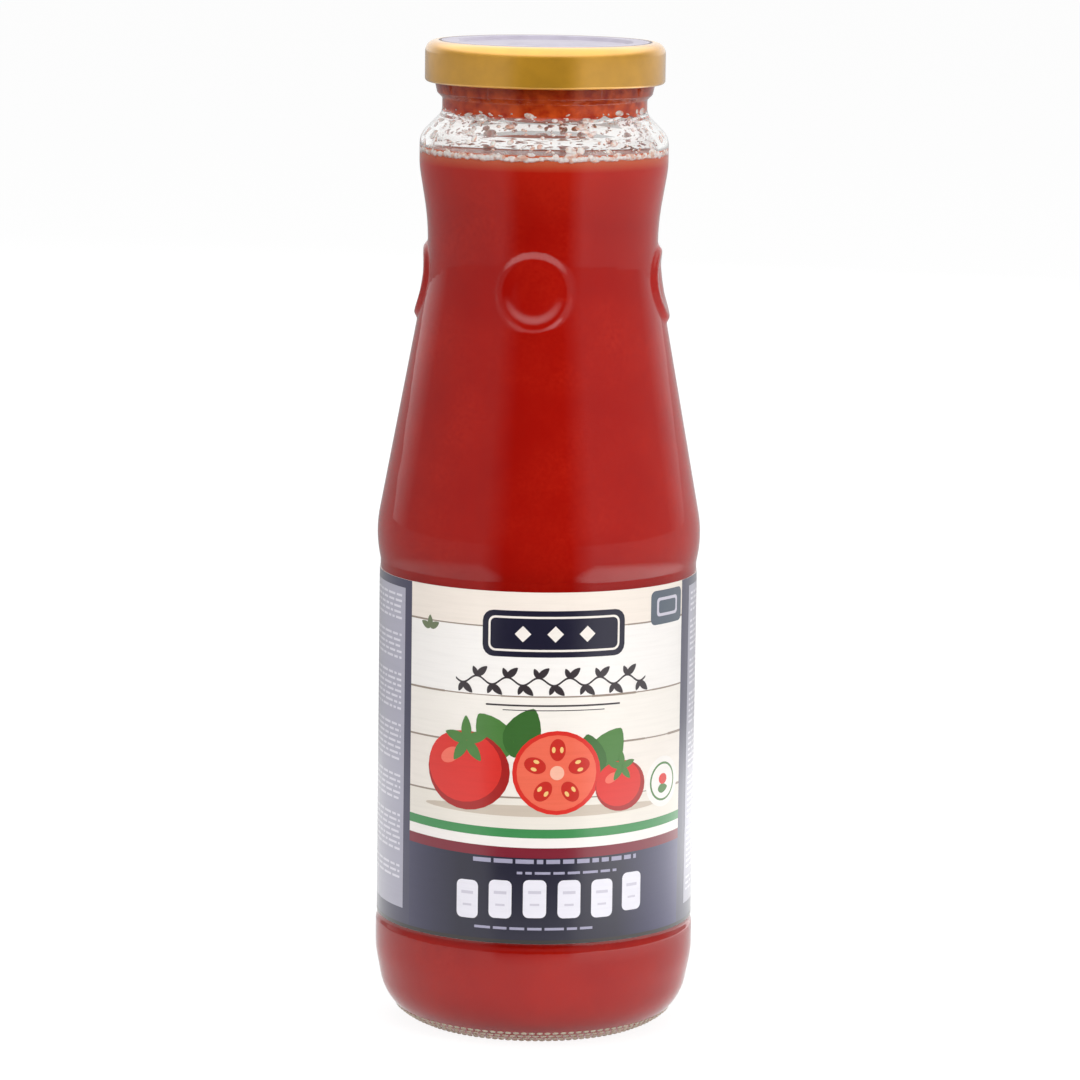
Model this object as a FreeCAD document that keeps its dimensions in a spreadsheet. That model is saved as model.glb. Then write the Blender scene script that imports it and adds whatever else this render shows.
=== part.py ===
import FreeCAD, Part
import math
import os
import Sketcher

# Passata bottle with a twist-off lid, standing upright.
# Millimetres, +Z up, front of the bottle towards -Y, origin at the centre of the base.

SIZES = {
    # glass, heights stacked upwards from the base
    "heel_rise": 17.1,
    "foot_length": 6.9,
    "foot_step": 1.2,
    "panel_length": 85.3,
    "shoulder_rise": 6.5,
    "cone_length": 67.8,
    "flare_length": 18.3,
    "collar_length": 7.3,
    "crown_drop": 5.2,
    "neck_length": 3.4,
    "ring_step": 1.3,
    "finish_length": 11.75,
    # glass, radii and the rounding at each turn of the outline
    "panel_radius": 37.25,
    "foot_bulge": 0.4,
    "shoulder_bulge": 1.25,
    "waist_radius": 26.0,
    "collar_radius": 29.05,
    "neck_radius": 23.9,
    "finish_step": 1.3,
    "heel_tuck": 2.85,
    "heel_round": 13.0,
    "foot_round": 20.0,
    "step_round": 2.0,
    "shoulder_round": 28.0,
    "waist_round": 60.0,
    "flare_round": 20.0,
    "crown_round": 5.0,
    "neck_round": 3.0,
    "ring_round": 0.8,
    "lip_round": 1.0,
    # base and wall
    "wall": 2.6,
    "foot_inset": 13.4,
    "punt_depth": 4.5,
    "punt_run": 9.0,
    "punt_round": 12.0,
    "base_thickness": 2.8,
    "floor_height": 3.2,
    "floor_rise_round": 5.0,
    "floor_round": 10.5,
    # round bosses on the shoulder
    "boss_radius": 9.7,
    "boss_height": 1.0,
    "boss_drop": 8.5,
    "boss_turn": 4.0,
    # thread ridges on the finish and lugs in the lid
    "thread_depth": 1.0,
    "thread_width": 1.8,
    "thread_angle": 62.0,
    "lug_gap": 0.35,
    "lug_angle": 22.0,
    "lug_inset": 0.2,
    # contents
    "fill_drop": 3.6,
    # paper label
    "paper": 0.15,
    "label_margin_low": 0.8,
    "label_margin_high": 2.0,
    # tinplate lid
    "tin": 0.25,
    "lid_gap": 2.55,
    "lid_height": 9.6,
    "lid_round": 2.6,
    "curl": 1.7,
    "recess_depth": 0.8,
    "recess_gap": 0.8,
    "recess_run": 0.8,
    "recess_round": 0.4,
}

FULL_TURN = 360.0
REPEATS = 4
# Least share of a straight run that stays straight between two roundings
STRAIGHT_SHARE = 0.05

doc = FreeCAD.newDocument("passata_bottle")
sheet = doc.addObject("Spreadsheet::Sheet", "sizes")
for row, (alias, number) in enumerate(SIZES.items(), start=1):
    sheet.set("A%d" % row, alias.replace("_", " "))
    sheet.set("B%d" % row, str(number))
    sheet.setAlias("B%d" % row, alias)
doc.recompute()


def value(expression):
    """Number that an expression on the sheet stands for now."""
    return float(sheet.evalExpression(expression))


def total(*cells):
    """Expression that adds up cells of the sheet."""
    return " + ".join("sizes." + cell for cell in cells)


# Heights of the outline's turns, each one stretch above the last
HEIGHTS = {
    "heel": "heel_rise",
    "foot": "foot_length",
    "panel": "foot_step",
    "panel_top": "panel_length",
    "shoulder": "shoulder_rise",
    "waist": "cone_length",
    "collar": "flare_length",
    "crown": "collar_length",
    "neck": "crown_drop",
    "ring": "neck_length",
    "ring_top": "ring_step",
    "rim": "finish_length",
}
LEVEL = {}
for count, turn in enumerate(HEIGHTS, start=1):
    LEVEL[turn] = total(*list(HEIGHTS.values())[:count])

HEEL_RADIUS = "sizes.panel_radius - sizes.heel_tuck"
FOOT_RADIUS = "sizes.panel_radius + sizes.foot_bulge"
SHOULDER_RADIUS = "sizes.panel_radius + sizes.shoulder_bulge"
RING_RADIUS = HEEL_RADIUS + " - sizes.foot_inset"
CROWN_INSIDE = " - (sqrt(2) - 1) * sizes.wall"
FINISH_RADIUS = "sizes.neck_radius + sizes.finish_step"
LID_RADIUS = FINISH_RADIUS + " + sizes.lid_gap + sizes.tin"
LID_TOP = LEVEL["rim"] + " + sizes.tin"
LID_FOOT = LID_TOP + " - sizes.lid_height"
RECESS_RADIUS = "sizes.neck_radius - sizes.wall - sizes.recess_gap"


def inward(expression, cell="wall"):
    """Expression moved towards the axis by one cell of the sheet."""
    return expression + " - sizes." + cell


def new_body(name):
    """Empty body with a label of its own."""
    body = doc.addObject("PartDesign::Body", name)
    body.Label = name
    return body


def origin_feature(body, role):
    """Origin plane or axis of a body, found by its role."""
    return [part for part in body.Origin.OriginFeatures if part.Role == role][0]


def new_sketch(body, name):
    """Sketch on the body's own front plane: across is the radius, up is the height."""
    sketch = body.newObject("Sketcher::SketchObject", name)
    sketch.AttachmentSupport = [(origin_feature(body, "XZ_Plane"), "")]
    sketch.MapMode = "FlatFace"
    return sketch


def pin_point(sketch, geometry, end, place):
    """Hold a point of the sketch at a radius and a height from the sheet."""
    for kind, axis, expression in (("DistanceX", -2, place[0]), ("DistanceY", -1, place[1])):
        number = value(expression)
        if number == 0:
            sketch.addConstraint(Sketcher.Constraint("PointOnObject", geometry, end, axis))
        else:
            index = sketch.addConstraint(
                Sketcher.Constraint(kind, -1, 1, geometry, end, number))
            sketch.setExpression("Constraints[%d]" % index, expression)


def fitted_rounds(points, corners):
    """Share of each asked rounding that its two runs leave room for, 1 where all fits."""
    count = len(points)
    halves, reaches = [], []
    for index, corner in enumerate(corners):
        back = points[index - 1] - points[index]
        ahead = points[(index + 1) % count] - points[index]
        halves.append(back.getAngle(ahead) / 2)
        asked = value(corner[2]) if len(corner) == 3 else 0
        reaches.append(asked / math.tan(halves[index]))
    room = []
    for index in range(count):
        following = (index + 1) % count
        run = points[index].distanceToPoint(points[following]) * (1 - STRAIGHT_SHARE)
        room.append(run / max(run, reaches[index] + reaches[following]))
    return halves, [min(room[index - 1], room[index]) for index in range(count)]


def draw_outline(sketch, corners):
    """Close an outline of straight runs; a corner with a third entry is rounded by it."""
    points = [FreeCAD.Vector(value(corner[0]), value(corner[1]), 0) for corner in corners]
    starts, ends, arcs = list(points), list(points), {}
    halves, shares = fitted_rounds(points, corners)
    for index, corner in enumerate(corners):
        if len(corner) == 3:
            here = points[index]
            radius = value(corner[2]) * shares[index]
            back = (points[index - 1] - here).normalize()
            ahead = (points[(index + 1) % len(points)] - here).normalize()
            middle = here + (back + ahead).normalize() * (radius / math.sin(halves[index]))
            near = middle + (here - middle).normalize() * radius
            ends[index] = here + back * (radius / math.tan(halves[index]))
            starts[index] = here + ahead * (radius / math.tan(halves[index]))
            turns_left = ahead.cross(back).z > 0
            first, last = (ends, starts) if turns_left else (starts, ends)
            arcs[index] = (Part.Arc(first[index], near, last[index]), turns_left)
    lines = []
    for index in range(len(corners)):
        following = (index + 1) % len(corners)
        run = Part.LineSegment(starts[index], ends[following])
        lines.append(sketch.addGeometry(run, False))
    for index, corner in enumerate(corners):
        before, after = lines[index - 1], lines[index]
        if index not in arcs:
            sketch.addConstraint(Sketcher.Constraint("Coincident", before, 2, after, 1))
            pin_point(sketch, after, 1, corner)
            continue
        curve, turns_left = arcs[index]
        arc = sketch.addGeometry(curve, False)
        tip = sketch.addGeometry(Part.Point(points[index]), True)
        arc_ends = (1, 2) if turns_left else (2, 1)
        for line, line_end, arc_end in ((before, 2, arc_ends[0]), (after, 1, arc_ends[1])):
            sketch.addConstraint(Sketcher.Constraint("Tangent", line, line_end, arc, arc_end))
            sketch.addConstraint(Sketcher.Constraint("PointOnObject", tip, 1, line))
        pin_point(sketch, tip, 1, corner)
        radius = value(corner[2]) * shares[index]
        held = sketch.addConstraint(Sketcher.Constraint("Radius", arc, radius))
        limit = "" if shares[index] == 1 else " * %.6f" % shares[index]
        sketch.setExpression("Constraints[%d]" % held, "(%s)%s" % (corner[2], limit))


def turn_outline(body, name, corners, kind="PartDesign::Revolution", angle=None):
    """Turn an outline round the bottle's axis, adding to the body or cutting from it."""
    sketch = new_sketch(body, name + "_outline")
    draw_outline(sketch, corners)
    turned = body.newObject(kind, name)
    turned.Profile = sketch
    turned.ReferenceAxis = (sketch, ["V_Axis"])
    turned.Angle = FULL_TURN
    if angle:
        turned.setExpression("Angle", angle)
        turned.Midplane = True
    return turned


def repeat_round(body, name, feature):
    """Repeat a feature at even steps round the bottle's axis."""
    pattern = body.newObject("PartDesign::PolarPattern", name)
    pattern.Originals = [feature]
    pattern.Axis = (origin_feature(body, "Z_Axis"), [""])
    pattern.Angle = FULL_TURN
    pattern.Occurrences = REPEATS
    body.Tip = pattern
    return pattern


def rectangle(inner, outer, low, high):
    """Corners of a plain section between two radii and two heights."""
    return [(inner, low), (outer, low), (outer, high), (inner, high)]


def glass_outside():
    """Outside of the bottle, solid, with the four thread ridges of its finish."""
    body = new_body("glass_outside")
    turn_outline(body, "outside", [
        ("0", "sizes.punt_depth"),
        (inward(RING_RADIUS, "punt_run"), "sizes.punt_depth", "sizes.punt_round"),
        (RING_RADIUS, "0"),
        (HEEL_RADIUS, "0", "sizes.heel_round"),
        (FOOT_RADIUS, LEVEL["heel"], "sizes.foot_round"),
        (FOOT_RADIUS, LEVEL["foot"], "sizes.step_round"),
        ("sizes.panel_radius", LEVEL["panel"], "sizes.step_round"),
        ("sizes.panel_radius", LEVEL["panel_top"], "sizes.step_round"),
        (SHOULDER_RADIUS, LEVEL["shoulder"], "sizes.shoulder_round"),
        ("sizes.waist_radius", LEVEL["waist"], "sizes.waist_round"),
        ("sizes.collar_radius", LEVEL["collar"], "sizes.flare_round"),
        ("sizes.collar_radius", LEVEL["crown"], "sizes.crown_round"),
        ("sizes.neck_radius", LEVEL["neck"], "sizes.neck_round"),
        ("sizes.neck_radius", LEVEL["ring"], "sizes.ring_round"),
        (FINISH_RADIUS, LEVEL["ring_top"], "sizes.ring_round"),
        (FINISH_RADIUS, LEVEL["rim"], "sizes.lip_round"),
        ("0", LEVEL["rim"]),
    ])
    low = LID_FOOT + " + sizes.curl + sizes.lug_gap"
    ridge = turn_outline(body, "thread_ridge", rectangle(
        inward(FINISH_RADIUS, "thread_depth"),
        FINISH_RADIUS + " + sizes.thread_depth",
        low,
        low + " + sizes.thread_width",
    ), angle="sizes.thread_angle")
    repeat_round(body, "thread_ridges", ridge)
    return body


def glass_inside():
    """Space inside the bottle, from the floor to the mouth."""
    body = new_body("glass_inside")
    dome = "sizes.punt_depth + sizes.base_thickness"
    turn_outline(body, "inside", [
        ("0", dome),
        (inward(RING_RADIUS, "punt_run"), dome, "sizes.punt_round"),
        (RING_RADIUS, "sizes.floor_height", "sizes.floor_rise_round"),
        (inward("sizes.panel_radius"), "sizes.floor_height", "sizes.floor_round"),
        (inward("sizes.panel_radius"), LEVEL["panel_top"], "sizes.step_round"),
        (inward(SHOULDER_RADIUS), LEVEL["shoulder"], "sizes.shoulder_round"),
        (inward("sizes.waist_radius"), LEVEL["waist"], "sizes.waist_round"),
        (inward("sizes.collar_radius"), LEVEL["collar"], "sizes.flare_round"),
        (inward("sizes.collar_radius"), LEVEL["crown"] + CROWN_INSIDE, "sizes.neck_round"),
        (inward("sizes.neck_radius"), LEVEL["neck"] + CROWN_INSIDE, "sizes.neck_round"),
        (inward("sizes.neck_radius"), LEVEL["rim"]),
        ("0", LEVEL["rim"]),
    ])
    return body


def shoulder_relief():
    """Shoulder made thicker by the height of the bosses, kept only within their circles."""
    raised = " + sizes.boss_height"
    blank = new_body("relief_blank")
    turn_outline(blank, "relief", [
        ("0", LEVEL["shoulder"]),
        (SHOULDER_RADIUS + raised, LEVEL["shoulder"]),
        ("sizes.waist_radius" + raised, LEVEL["waist"], "sizes.waist_round"),
        ("sizes.collar_radius" + raised, LEVEL["collar"]),
        ("0", LEVEL["collar"]),
    ])
    narrowing = value(SHOULDER_RADIUS) - value("sizes.waist_radius")
    tilt = math.degrees(math.atan2(narrowing, value("sizes.cone_length")))
    height = value(LEVEL["waist"]) - value("sizes.boss_drop")
    posts = []
    for index in range(REPEATS):
        post = doc.addObject("Part::Cylinder", "boss_post_%d" % (index + 1))
        post.setExpression("Radius", "sizes.boss_radius")
        post.setExpression("Height", SHOULDER_RADIUS)
        around = FULL_TURN * index / REPEATS - value("sizes.boss_turn")
        about_axis = FreeCAD.Rotation(FreeCAD.Vector(0, 0, 1), around)
        outward = about_axis.multiply(
            FreeCAD.Rotation(FreeCAD.Vector(0, 1, 0), FULL_TURN / 4 - tilt))
        aim = outward.multVec(FreeCAD.Vector(0, 0, 1))
        start = FreeCAD.Vector(0, 0, height)
        run = FreeCAD.Vector(aim.x, aim.y, 0).Length
        back = value("sizes.waist_radius") / run
        foot = start - FreeCAD.Vector(0, 0, aim.z * back)
        post.Placement = FreeCAD.Placement(foot, outward)
        posts.append(post)
    circles = doc.addObject("Part::MultiFuse", "boss_posts")
    circles.Shapes = posts
    bosses = doc.addObject("Part::Common", "bosses")
    bosses.Base = blank
    bosses.Tool = circles
    return bosses


def make_bottle(inside):
    """Glass bottle: the outside with its bosses, less the space inside."""
    full = doc.addObject("Part::Fuse", "glass_full")
    full.Base = glass_outside()
    full.Tool = shoulder_relief()
    bottle = doc.addObject("Part::Cut", "bottle")
    bottle.Base = full
    bottle.Tool = inside
    return bottle


def make_passata(inside):
    """Tomato passata, filling the bottle up to just under its crown."""
    level = doc.addObject("Part::Cylinder", "fill_level")
    level.setExpression("Radius", SHOULDER_RADIUS)
    level.setExpression("Height", LEVEL["crown"] + " - sizes.fill_drop")
    passata = doc.addObject("Part::Common", "passata")
    passata.Base = inside
    passata.Tool = level
    return passata


def make_label():
    """Paper label, glued all the way round the straight panel."""
    body = new_body("label")
    turn_outline(body, "paper_sleeve", rectangle(
        "sizes.panel_radius",
        "sizes.panel_radius + sizes.paper",
        LEVEL["panel"] + " + sizes.label_margin_low",
        LEVEL["panel_top"] + " - sizes.label_margin_high",
    ))
    return body


def make_lid():
    """Twist-off lid: a tinplate cup with a sunk centre, a rolled edge and four lugs."""
    body = new_body("lid")
    recess_inner = inward(RECESS_RADIUS, "recess_run")
    floor = LID_TOP + " - sizes.recess_depth"
    turn_outline(body, "lid_outside", [
        ("0", floor),
        (recess_inner, floor, "sizes.recess_round"),
        (RECESS_RADIUS, LID_TOP, "sizes.recess_round"),
        (LID_RADIUS, LID_TOP, "sizes.lid_round"),
        (LID_RADIUS, LID_FOOT),
        ("0", LID_FOOT),
    ])
    turn_outline(body, "lid_inside", [
        ("0", inward(floor, "tin")),
        (recess_inner, inward(floor, "tin"), "sizes.recess_round"),
        (RECESS_RADIUS, inward(LID_TOP, "tin"), "sizes.recess_round"),
        (inward(LID_RADIUS, "tin"), inward(LID_TOP, "tin"), "sizes.lid_round - sizes.tin"),
        (inward(LID_RADIUS, "tin"), LID_FOOT),
        ("0", LID_FOOT),
    ], kind="PartDesign::Groove")
    curl_sketch = new_sketch(body, "curl_outline")
    curl_height = LID_FOOT + " + sizes.curl / 2"
    curl_radius = LID_RADIUS + " - sizes.curl / 2"
    centre = FreeCAD.Vector(value(curl_radius), value(curl_height), 0)
    ring = Part.Circle(centre, FreeCAD.Vector(0, 0, 1), value("sizes.curl / 2"))
    circle = curl_sketch.addGeometry(ring, False)
    pin_point(curl_sketch, circle, 3, (curl_radius, curl_height))
    index = curl_sketch.addConstraint(
        Sketcher.Constraint("Radius", circle, value("sizes.curl / 2")))
    curl_sketch.setExpression("Constraints[%d]" % index, "sizes.curl / 2")
    curl = body.newObject("PartDesign::Revolution", "curl")
    curl.Profile = curl_sketch
    curl.ReferenceAxis = (curl_sketch, ["V_Axis"])
    curl.Angle = FULL_TURN
    lug = turn_outline(body, "lug", rectangle(
        FINISH_RADIUS + " + sizes.lug_gap",
        curl_radius,
        LID_FOOT + " + sizes.lug_inset",
        LID_FOOT + " + sizes.curl - sizes.lug_inset",
    ), angle="sizes.lug_angle")
    repeat_round(body, "lugs", lug)
    return body


cavity = glass_inside()
NODES = [make_bottle(cavity), make_passata(cavity), make_label(), make_lid()]
doc.recompute()

for item in doc.Objects:
    if "Invalid" in item.State or "Error" in item.State:
        raise RuntimeError("%s failed: %s" % (item.Name, item.State))
    if item.isDerivedFrom("Sketcher::SketchObject") and not item.FullyConstrained:
        raise RuntimeError("%s is not fully constrained" % item.Name)

for node in NODES:
    if node.Shape.isNull() or not node.Shape.isValid() or len(node.Shape.Solids) != 1:
        raise RuntimeError("%s is not one valid solid" % node.Label)

os.makedirs("parts", exist_ok=True)
for node in NODES:
    node.Shape.exportStep("parts/%s.step" % node.Label)
    print("%-8s %8.0f mm3" % (node.Label, node.Shape.Volume))
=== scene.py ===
import math
import random

import bmesh
import bpy
from bpy.props import (
    FloatProperty,
    FloatVectorProperty,
    IntProperty,
    PointerProperty,
)
from mathutils import Matrix, Vector, noise


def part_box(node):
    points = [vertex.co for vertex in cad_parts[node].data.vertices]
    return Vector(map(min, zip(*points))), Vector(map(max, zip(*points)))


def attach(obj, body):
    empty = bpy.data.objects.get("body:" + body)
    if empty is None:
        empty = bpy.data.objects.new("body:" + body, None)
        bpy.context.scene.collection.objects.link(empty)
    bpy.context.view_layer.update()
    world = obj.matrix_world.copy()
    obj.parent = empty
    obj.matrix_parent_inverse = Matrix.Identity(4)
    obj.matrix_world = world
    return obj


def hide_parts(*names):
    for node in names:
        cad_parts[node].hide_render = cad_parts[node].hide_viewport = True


bl_info = {
    "name": "Passata Bottle",
    "version": (1, 0, 0),
    "blender": (4, 5, 0),
    "location": "View3D > Sidebar > Passata",
    "description": "Glass bottle of tomato passata with a printed paper label and a gold twist-off lid",
    "category": "Object",
}

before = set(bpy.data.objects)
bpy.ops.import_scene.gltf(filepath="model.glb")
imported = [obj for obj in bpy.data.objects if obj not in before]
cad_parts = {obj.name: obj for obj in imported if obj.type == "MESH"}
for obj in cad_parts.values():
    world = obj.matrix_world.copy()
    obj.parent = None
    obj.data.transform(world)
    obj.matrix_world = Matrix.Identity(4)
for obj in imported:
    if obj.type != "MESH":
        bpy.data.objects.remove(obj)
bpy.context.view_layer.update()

MM = 0.001
ROOT = "root"
AXIS = (0, 0, 1)
FULL_TURN = 2 * math.pi
WELD = 0.0005
SHARP_ANGLE = math.radians(38)

# Sizes in millimetres that the frame gives
LABEL_LOW, LABEL_HIGH = (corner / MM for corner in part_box("label"))
LID_LOW, LID_HIGH = (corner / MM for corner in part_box("lid"))
FILL_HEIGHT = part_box("passata")[1].z / MM
RIM_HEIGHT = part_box("bottle")[1].z / MM
LABEL_RADIUS = LABEL_HIGH.x
LID_RADIUS = LID_HIGH.x

# Outline of the bottle: radius, height and rounding of each turn, in millimetres
GLASS_OUTSIDE = (
    (0.0, 4.5, 0.0), (12.0, 4.5, 12.0), (21.0, 0.0, 0.5), (34.4, 0.0, 13.0),
    (37.65, 17.1, 20.0), (37.65, 24.0, 2.0), (37.25, 25.2, 2.0), (37.25, 110.5, 2.0),
    (38.5, 117.0, 28.0), (26.0, 184.8, 60.0), (29.05, 203.1, 20.0), (29.05, 210.4, 5.0),
    (23.9, 215.6, 3.0), (23.9, 219.0, 0.8), (25.2, 220.3, 0.8), (25.2, RIM_HEIGHT, 1.0),
)
GLASS_INSIDE = (
    (21.3, RIM_HEIGHT, 0.8), (21.3, 214.52, 3.0), (26.45, 209.32, 3.0), (26.45, 203.1, 20.0),
    (23.4, 184.8, 60.0), (35.9, 117.0, 28.0), (34.65, 110.5, 2.0), (34.65, 3.2, 10.5),
    (21.0, 3.2, 5.0), (12.0, 7.3, 12.0), (0.0, 7.3, 0.0),
)
BORE_RADIUS = GLASS_INSIDE[0][0]
ARC_STEP = 1.1
ARC_ANGLE = math.radians(11)
TURN_STEPS = 320
SMALL_TURN_STEPS = 160
# How far what fills the glass reaches into its wall
INTO_WALL = 0.12

# Bosses: how many, spacing of the rings that carry them, and shares of their radius
BOSS_COUNT = 4
BOSS_SPACING = 0.5
BOSS_EDGE = (0.8, 1.0)
BOSS_DISH = (0.52, 0.76)
BOSS_DISH_DEPTH = 0.4

# Thread ridges on the finish and lugs in the lid's rolled edge
THREADS = 4
THREAD_RINGS = (224.6, 224.9, 226.4, 226.7)
THREAD_ARC = math.radians(62)
THREAD_HEIGHT = 0.95
FINISH_FROM = 25
LUG_ARC = math.radians(22)
LUG_REACH = 0.7

# Knurls: how many in a row, the rows' heights, and thickness, width and height of each
KNURLS = 110
KNURL_ROWS = (0.8, 1.7, 2.6, 3.5)
KNURL_SIZES = (0.3, 0.75, 0.42)
KNURL_TONE = "#CFC2AE"

# Film in the neck and froth at the level
FILM_RINGS = 12
FILM_THICKNESS = 0.5
FILM_TOP_GAP = 1.6
FROTH_BEADS = 150


def to_linear(text):
    """Linear colour of an sRGB hex value."""
    shares = [int(text[place:place + 2], 16) / 255 for place in (1, 3, 5)]
    return tuple(
        share / 12.92 if share <= 0.04045 else ((share + 0.055) / 1.055) ** 2.4
        for share in shares
    )


def colour(name, text, description):
    """Colour setting whose default is an sRGB hex value."""
    return FloatVectorProperty(
        name=name, description=description, subtype="COLOR", size=3,
        min=0, max=1, default=to_linear(text),
    )


def length(name, default, description):
    """Length setting in millimetres."""
    return FloatProperty(name=name, description=description, default=default, min=0, soft_max=2000)


class GlassSettings(bpy.types.PropertyGroup):
    """Sizes and colours of the glass bottle."""
    tint: colour("Tint", "#FCFCFB", "Faint tint of the clear glass")
    boss_radius: length("Boss radius", 9.6, "Radius of each round boss, in millimetres")
    boss_height: length("Boss height", 1.0, "How far a boss stands proud, in millimetres")
    boss_centre: length("Boss centre", 176.3, "Height of the bosses' centres, in millimetres")
    boss_turn: FloatProperty(
        name="Boss turn", description="Turn of the front boss to the left of the front",
        default=math.radians(4), subtype="ANGLE")


class PassataSettings(bpy.types.PropertyGroup):
    """Colours of the passata and what it leaves on the glass."""
    deep: colour("Deep red", "#B31004", "Colour of most of the passata")
    # colour of the paler pulp, which also paints the passata paler towards its surface as painted light
    # from above
    pulp_and_top_light: colour("Pulp red", "#C52210", "Colour of its lighter pulp")
    film: colour("Film", "#EC6022", "Thin passata dried on the neck's inside")
    film_dark: colour("Dark film", "#BC3009", "Where the film is thicker")
    splash: colour("Splash", "#EBBDAA", "Small splashes above the fill")
    froth: colour("Froth", "#FFF8F2", "Pale froth among the splashes")
    # painted light: paler, more orange passata just under the surface, standing for light from above
    crest_light: colour("Crest", "#D8704C", "Paler passata just under its surface")
    film_low: length("Film edge", 215.2, "Mean height of the film's ragged lower edge")
    splashes: IntProperty(name="Splashes", description="Number of splashes", default=560, min=0)
    seed: IntProperty(name="Seed", description="Arrangement of the splashes", default=7)


class LabelSettings(bpy.types.PropertyGroup):
    """Colours of the label's paper and inks."""
    front_left: FloatProperty(
        name="Front left", description="Left edge of the pale front, along the label",
        default=-33.4, soft_min=-100, soft_max=0)
    front_right: FloatProperty(
        name="Front right", description="Right edge of the pale front, along the label",
        default=41.6, soft_min=0, soft_max=100)
    cream: colour("Cream", "#F2EBE3", "Pale boards of the front")
    navy: colour("Navy", "#1D1B31", "Ground of the sides and the foot")
    green: colour("Green", "#3E8E50", "Green stripe")
    white: colour("White", "#F4EFEA", "White stripe and tablets")
    wine: colour("Wine red", "#7E142A", "Dark red stripe")
    tomato: colour("Tomato", "#DC261B", "Drawn tomatoes")
    leaf: colour("Leaf", "#4C7F3A", "Drawn leaves")


class LidSettings(bpy.types.PropertyGroup):
    """Colours of the lid's lacquers."""
    gold: colour("Gold", "#E6A930", "Gold lacquer on tinplate")
    top: colour("Top", "#BDB6C6", "Pale lacquer on the lid's top")
    line: colour("Line", "#4A3A3E", "Dark printed line round the top")


class StageSettings(bpy.types.PropertyGroup):
    """Floor, lamps and camera."""
    distance: length("Distance", 1190.0, "From the bottle's axis to the camera, in millimetres")
    height: length("Height", 301.0, "Camera's height above the floor, in millimetres")
    pitch: FloatProperty(
        name="Pitch", description="How far the camera looks down",
        default=math.radians(8.89), subtype="ANGLE")
    roll: FloatProperty(
        name="Roll", description="Camera's turn about its own line of sight",
        default=math.radians(0.8), subtype="ANGLE")
    lens: FloatProperty(name="Lens", description="Focal length, in millimetres", default=170.15)
    floor: colour("Floor", "#FAFAFA", "Pale floor")


# Materials


def add(tree, kind, settings=None, links=None):
    """Shader node of a kind, with its settings and the sockets that feed it."""
    node = tree.nodes.new("ShaderNode" + kind)
    for key, setting in (settings or {}).items():
        if isinstance(key, str) and hasattr(node, key):
            setattr(node, key, setting)
        else:
            node.inputs[key].default_value = setting
    for key, socket in (links or {}).items():
        tree.links.new(socket, node.inputs[key])
    return node


def new_material(name, settings):
    """Material with one Principled shader; returns it, its tree and the shader."""
    material = bpy.data.materials.new(name)
    material.use_nodes = True
    tree = material.node_tree
    tree.nodes.clear()
    shader = add(tree, "BsdfPrincipled", settings)
    add(tree, "OutputMaterial", links={"Surface": shader.outputs[0]})
    return material, tree, shader


def solid_colour(linear):
    """Four numbers for a colour socket."""
    return (*linear, 1.0)


def object_noise(tree, size_mm, detail=2.0):
    """Noise on Object coordinates whose lumps are about that size."""
    place = add(tree, "TexCoord")
    noise_node = add(
        tree, "TexNoise", {"Scale": 1 / (size_mm * MM), "Detail": detail},
        {"Vector": place.outputs["Object"]})
    return noise_node.outputs[0]


def mixed(tree, share, first, second):
    """Mix of two numbers by a share socket; each number may be a socket too."""
    return mixture(tree, "FLOAT", share, {2: first, 3: second}).outputs[0]


def blended(tree, share, first, second):
    """Mix of two colours by a share socket; each colour may be a socket too."""
    return mixture(tree, "RGBA", share, {6: first, 7: second}).outputs[2]


def mixture(tree, data_type, share, entries):
    """Mix node whose entries are sockets, numbers or colours."""
    mix = add(tree, "Mix", {"data_type": data_type}, {0: share})
    for slot, entry in entries.items():
        if isinstance(entry, bpy.types.NodeSocket):
            tree.links.new(entry, mix.inputs[slot])
        else:
            mix.inputs[slot].default_value = entry if slot < 4 else solid_colour(entry)
    return mix


def stretched(tree, socket, low, high, first=0, last=1):
    """Socket's values from low to high carried over to first to last."""
    spread = add(
        tree, "MapRange",
        {"From Min": low, "From Max": high, "To Min": first, "To Max": last}, {"Value": socket})
    return spread.outputs["Result"]


def bumped(tree, shader, height, depth_mm):
    """Relief of a real depth on a shader."""
    bump = add(
        tree, "Bump", {"Distance": depth_mm * MM, "Strength": 1.0}, {"Height": height})
    tree.links.new(bump.outputs[0], shader.inputs["Normal"])


def resurfaced(tree, socket):
    """Send another surface to the material's output."""
    output = next(node for node in tree.nodes if node.type == "OUTPUT_MATERIAL")
    tree.links.new(socket, output.inputs["Surface"])


def seen_ray(tree, path):
    """1 on rays that come straight from the camera or through glass, else 0."""
    seen = add(tree, "Math", {"operation": "MAXIMUM"}, {
        0: path.outputs["Is Camera Ray"], 1: path.outputs["Is Transmission Ray"]})
    return seen.outputs[0]


def moulded_glass(settings):
    """Clear soda-lime glass blown in a mould: sharp edges of light, faintly wavy faces."""
    material, tree, shader = new_material("moulded_soda_lime_glass", {
        "Base Color": solid_colour(settings.tint),
        "Transmission Weight": 1.0,
        "Roughness": 0.015,
        "IOR": 1.52,
    })
    bumped(tree, shader, object_noise(tree, 16, detail=1.0), 0.12)
    path = add(tree, "LightPath")
    clear = add(tree, "BsdfTransparent", {"Color": solid_colour(settings.tint)})
    lit = add(tree, "MixShader", links={
        0: path.outputs["Is Shadow Ray"], 1: shader.outputs[0], 2: clear.outputs[0]})
    resurfaced(tree, lit.outputs[0])
    return material


def knurled_glass():
    """Small rough lenses of glass that catch the light: greyish beige, half see-through."""
    material, _, _ = new_material("knurled_glass", {
        "Base Color": solid_colour(to_linear(KNURL_TONE)),
        "Transmission Weight": 0.25, "Roughness": 0.4, "IOR": 1.52})
    return material


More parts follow.
